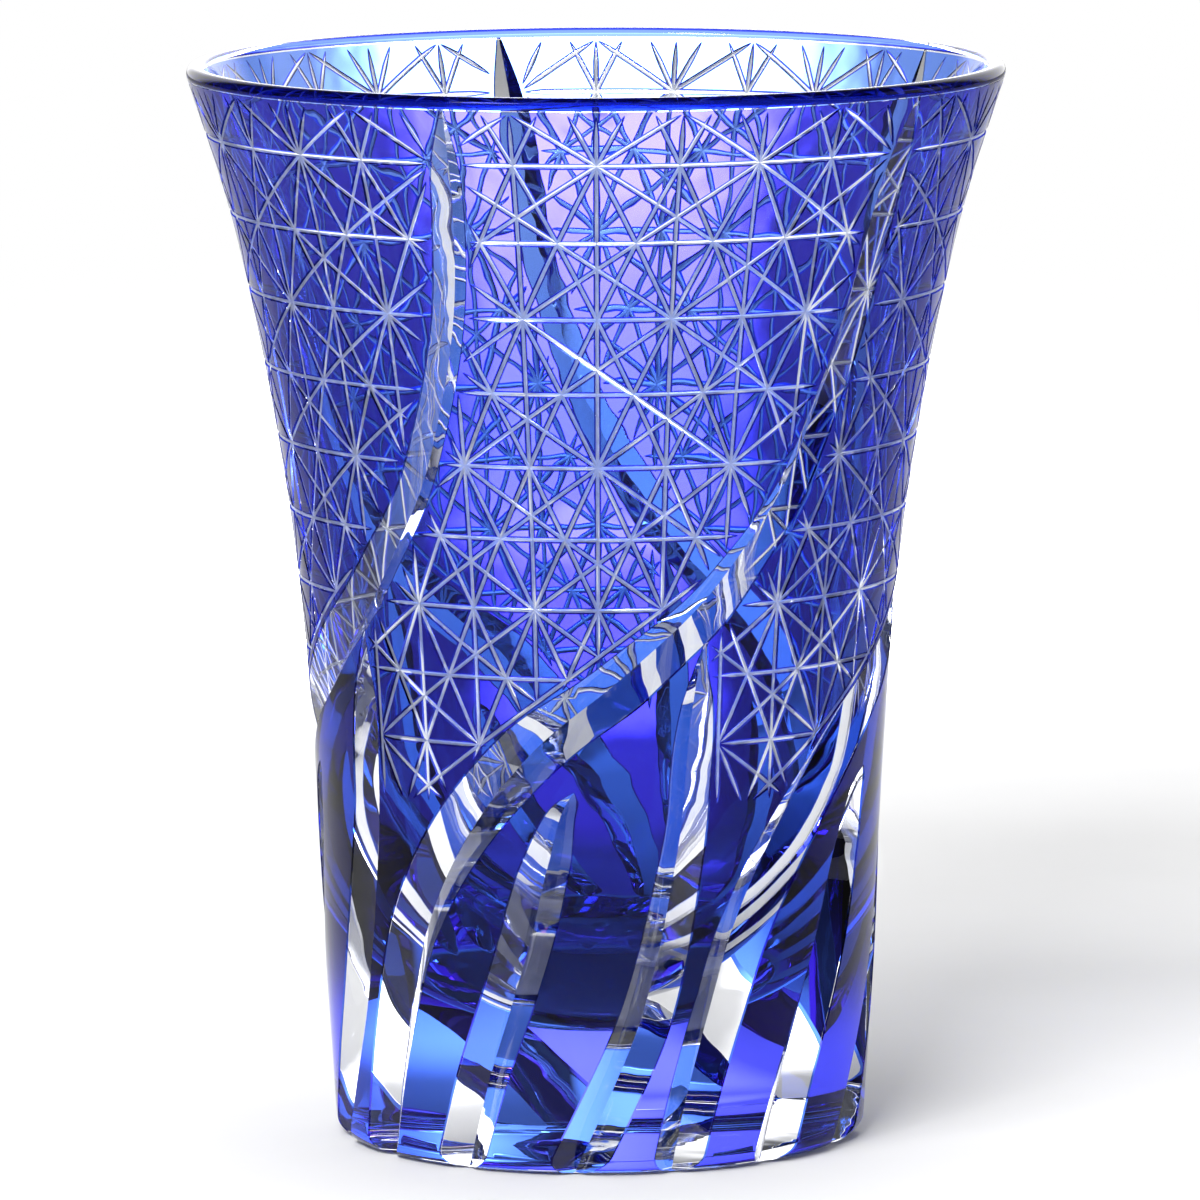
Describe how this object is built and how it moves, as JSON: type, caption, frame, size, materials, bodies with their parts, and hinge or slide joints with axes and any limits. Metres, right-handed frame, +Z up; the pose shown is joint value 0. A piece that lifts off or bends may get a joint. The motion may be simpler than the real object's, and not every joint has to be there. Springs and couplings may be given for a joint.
{
  "type": "cut crystal vase",
  "caption": "Flared cut crystal vase with a thick clear foot, a cobalt blue casing, sweeping V-grooves from lip to heel and panels of fine star cutting.",
  "frame": {"origin": "centre of the foot, on the plane the vase stands on", "axes": "+Z up along the vase's axis; -Y faces the front, midway along one long swoop"},
  "size_m": [0.086, 0.086, 0.1135],
  "materials": {
    "clear_crystal": "fire-polished inside, wheel-cut and acid-polished grooves outside",
    "cobalt_casing": "polished cobalt blue overlay, transparent"
  },
  "bodies": {
    "root": {"crystal_body": "clear_crystal", "star_panel_1": "cobalt_casing", "star_panel_2": "cobalt_casing", "star_panel_3": "cobalt_casing", "star_panel_4": "cobalt_casing", "star_panel_5": "cobalt_casing", "fork_panel_1": "cobalt_casing", "fork_panel_2": "cobalt_casing", "fork_panel_3": "cobalt_casing", "fork_panel_4": "cobalt_casing", "fork_panel_5": "cobalt_casing"}
  },
  "joints": []
}
